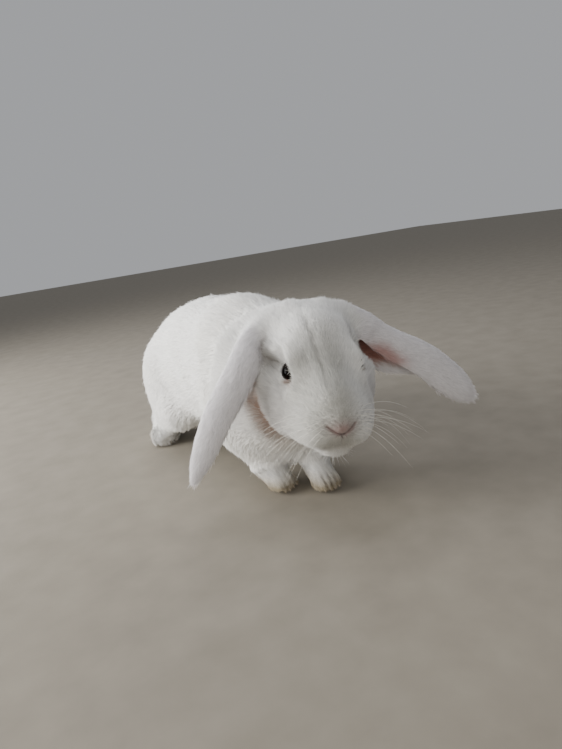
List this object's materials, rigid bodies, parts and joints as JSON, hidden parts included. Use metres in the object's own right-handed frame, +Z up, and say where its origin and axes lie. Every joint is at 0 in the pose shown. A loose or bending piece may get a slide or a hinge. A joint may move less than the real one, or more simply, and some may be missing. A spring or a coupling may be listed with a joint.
{
  "type": "lop rabbit",
  "caption": "Life-size still model of a white lop-eared rabbit, standing low with its head reached forward and its ears hanging out to the sides.",
  "frame": {"origin": "on the floor, under the middle of the animal's box", "axes": "the rabbit faces -Y, +X is its left side and +Z is up"},
  "size_m": [0.2398, 0.3566, 0.1649],
  "materials": {
    "coat": "soft white fur",
    "eye": "wet gloss"
  },
  "bodies": {
    "root": {"head": "coat", "neck": "coat", "trunk": "coat", "tail": "coat", "ear_right": "coat", "ear_left": "coat", "forepaw_right": "coat", "forepaw_left": "coat", "foreleg_right": "coat", "foreleg_left": "coat", "hindfoot_right": "coat", "hindfoot_left": "coat", "hindleg_right": "coat", "hindleg_left": "coat", "eye_right": "eye", "eye_left": "eye"}
  },
  "joints": []
}
